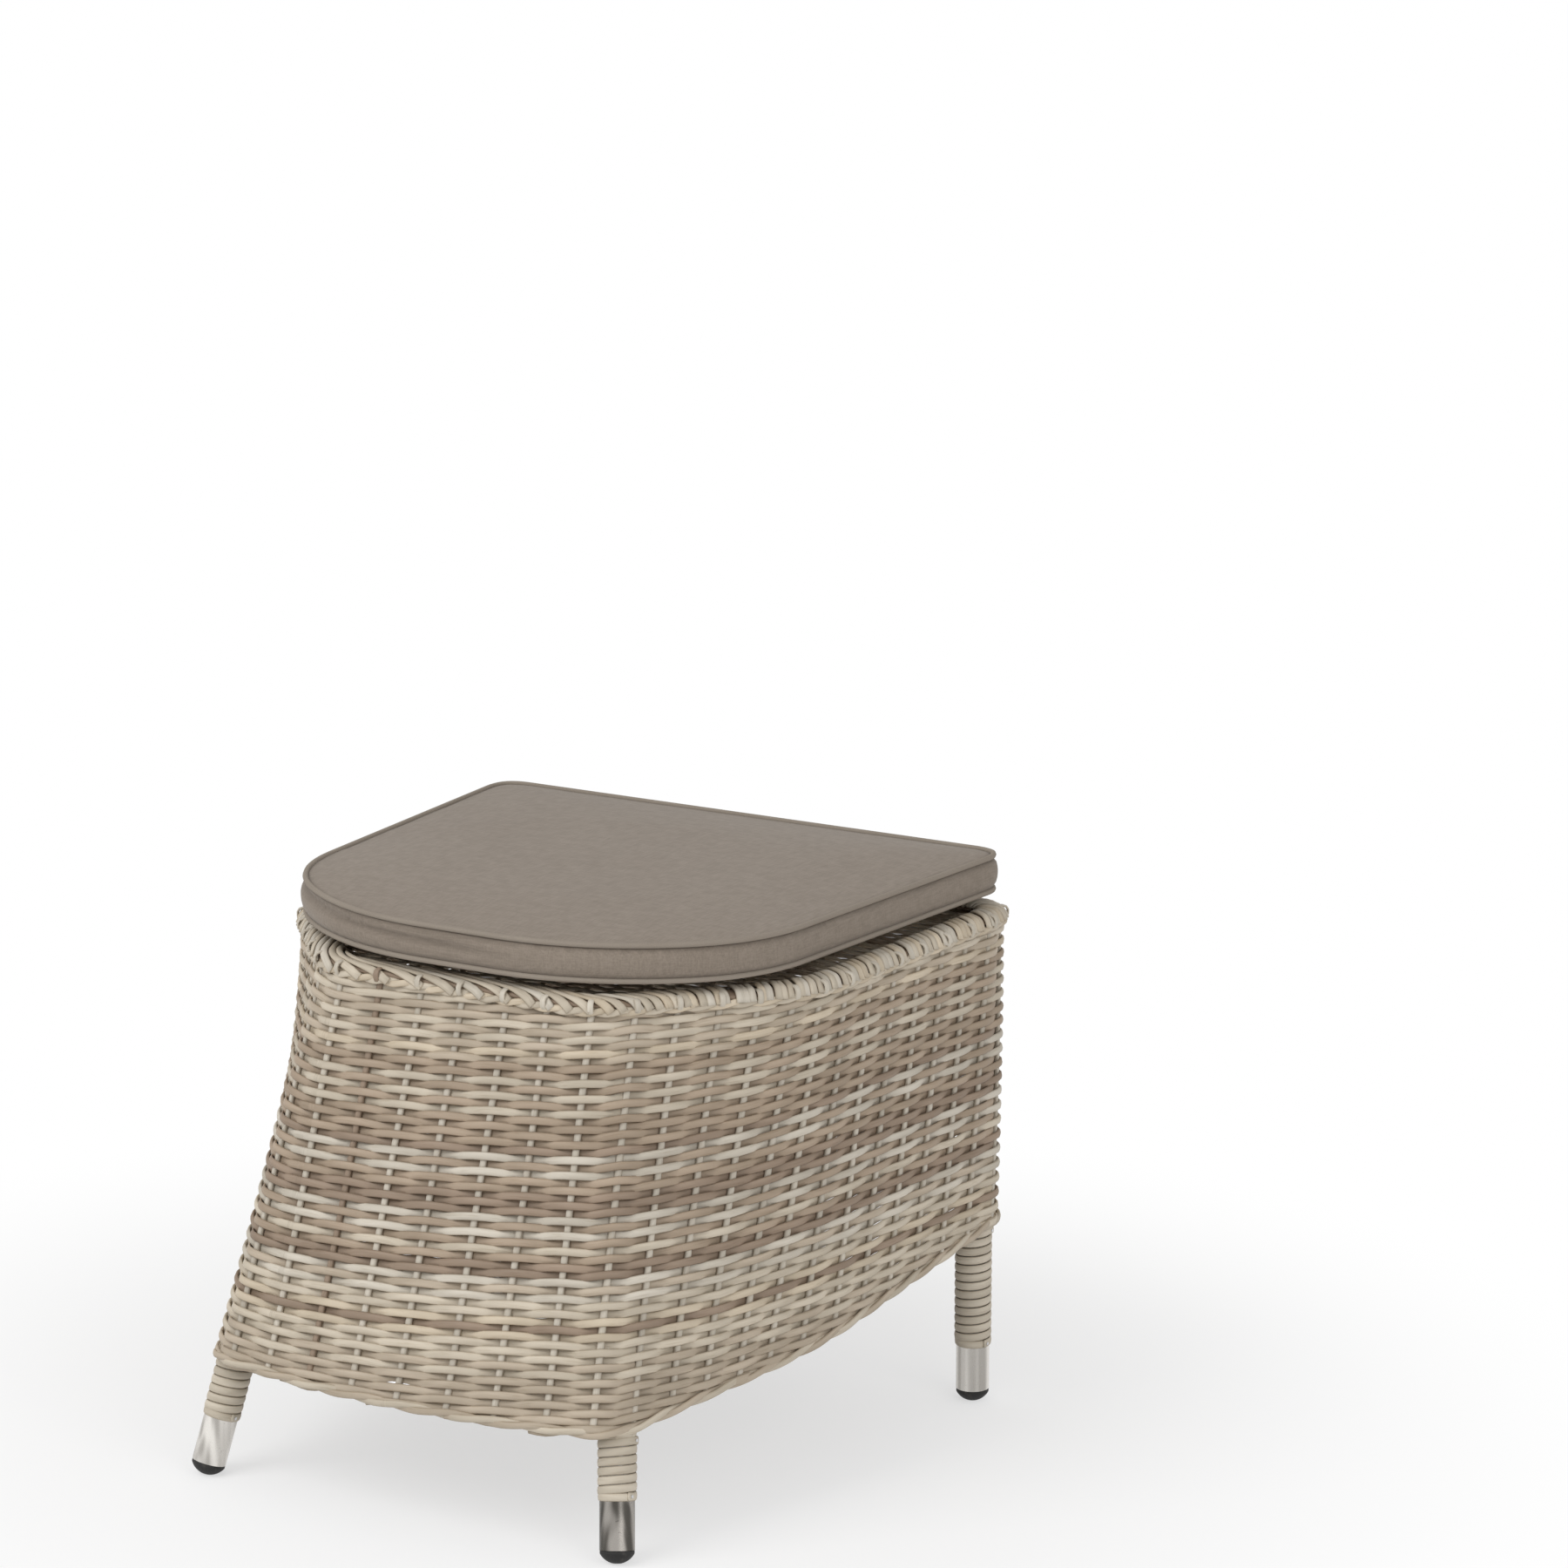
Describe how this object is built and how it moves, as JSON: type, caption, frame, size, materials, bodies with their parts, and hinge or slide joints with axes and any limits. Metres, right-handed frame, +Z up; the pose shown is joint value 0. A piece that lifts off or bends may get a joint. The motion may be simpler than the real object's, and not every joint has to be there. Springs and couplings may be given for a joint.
{
  "type": "rattan garden stool",
  "caption": "Low garden stool with a woven rattan skirt on an aluminium frame and a loose piped seat cushion.",
  "frame": {"origin": "on the ground, under the middle of the stool's overall box", "axes": "+Z up, +Y towards the straight back edge, -Y towards the splayed front legs, +X to the right seen from the front"},
  "size_m": [0.5156, 0.5371, 0.456],
  "materials": {
    "frame_aluminium": "mill-finish aluminium tube",
    "sleeve_aluminium": "brushed and polished aluminium end sleeve",
    "foot_rubber": "matt black moulded rubber",
    "wrap_reed": "smooth greige synthetic rattan strand",
    "pin_steel": "small bright nail heads",
    "skirt_reed": "woven synthetic rattan in mixed cream, beige and brown strands",
    "braid_reed": "braided synthetic rattan border",
    "deck_reed": "woven synthetic rattan seat deck",
    "cover_fabric": "taupe grey woven outdoor fabric",
    "seat_foam": "soft polyurethane foam",
    "piping_fabric": "taupe grey fabric piping",
    "zip_plastic": "taupe coil zip"
  },
  "bodies": {
    "stool": {"leg_front_left": "frame_aluminium", "leg_front_right": "frame_aluminium", "leg_rear_left": "frame_aluminium", "leg_rear_right": "frame_aluminium", "rim_rail_front": "frame_aluminium", "rim_rail_left": "frame_aluminium", "rim_rail_right": "frame_aluminium", "rim_rail_rear": "frame_aluminium", "shoulder_rail_left": "frame_aluminium", "shoulder_rail_right": "frame_aluminium", "crossbar_front": "frame_aluminium", "crossbar_rear": "frame_aluminium", "hem_rod_front": "frame_aluminium", "hem_rod_left": "frame_aluminium", "hem_rod_right": "frame_aluminium", "hem_rod_rear": "frame_aluminium", "sleeve_front_left": "sleeve_aluminium", "sleeve_front_right": "sleeve_aluminium", "sleeve_rear_left": "sleeve_aluminium", "sleeve_rear_right": "sleeve_aluminium", "foot_front_left": "foot_rubber", "foot_front_right": "foot_rubber", "foot_rear_left": "foot_rubber", "foot_rear_right": "foot_rubber", "winding_front_left": "wrap_reed", "winding_front_right": "wrap_reed", "winding_rear_left": "wrap_reed", "winding_rear_right": "wrap_reed", "strand_pins": "pin_steel", "woven_skirt": "skirt_reed", "hem_strand": "wrap_reed", "rim_braid": "braid_reed", "woven_deck": "deck_reed"},
    "cushion": {"cushion_cover": "cover_fabric", "cushion_foam": "seat_foam", "piping_top": "piping_fabric", "piping_bottom": "piping_fabric", "cushion_zip": "zip_plastic"}
  },
  "joints": [
    {"name": "cushion_lift", "type": "slide", "parent": "stool", "child": "cushion", "axis": [0, 0, 1], "range_m": [0, 0.15]}
  ]
}
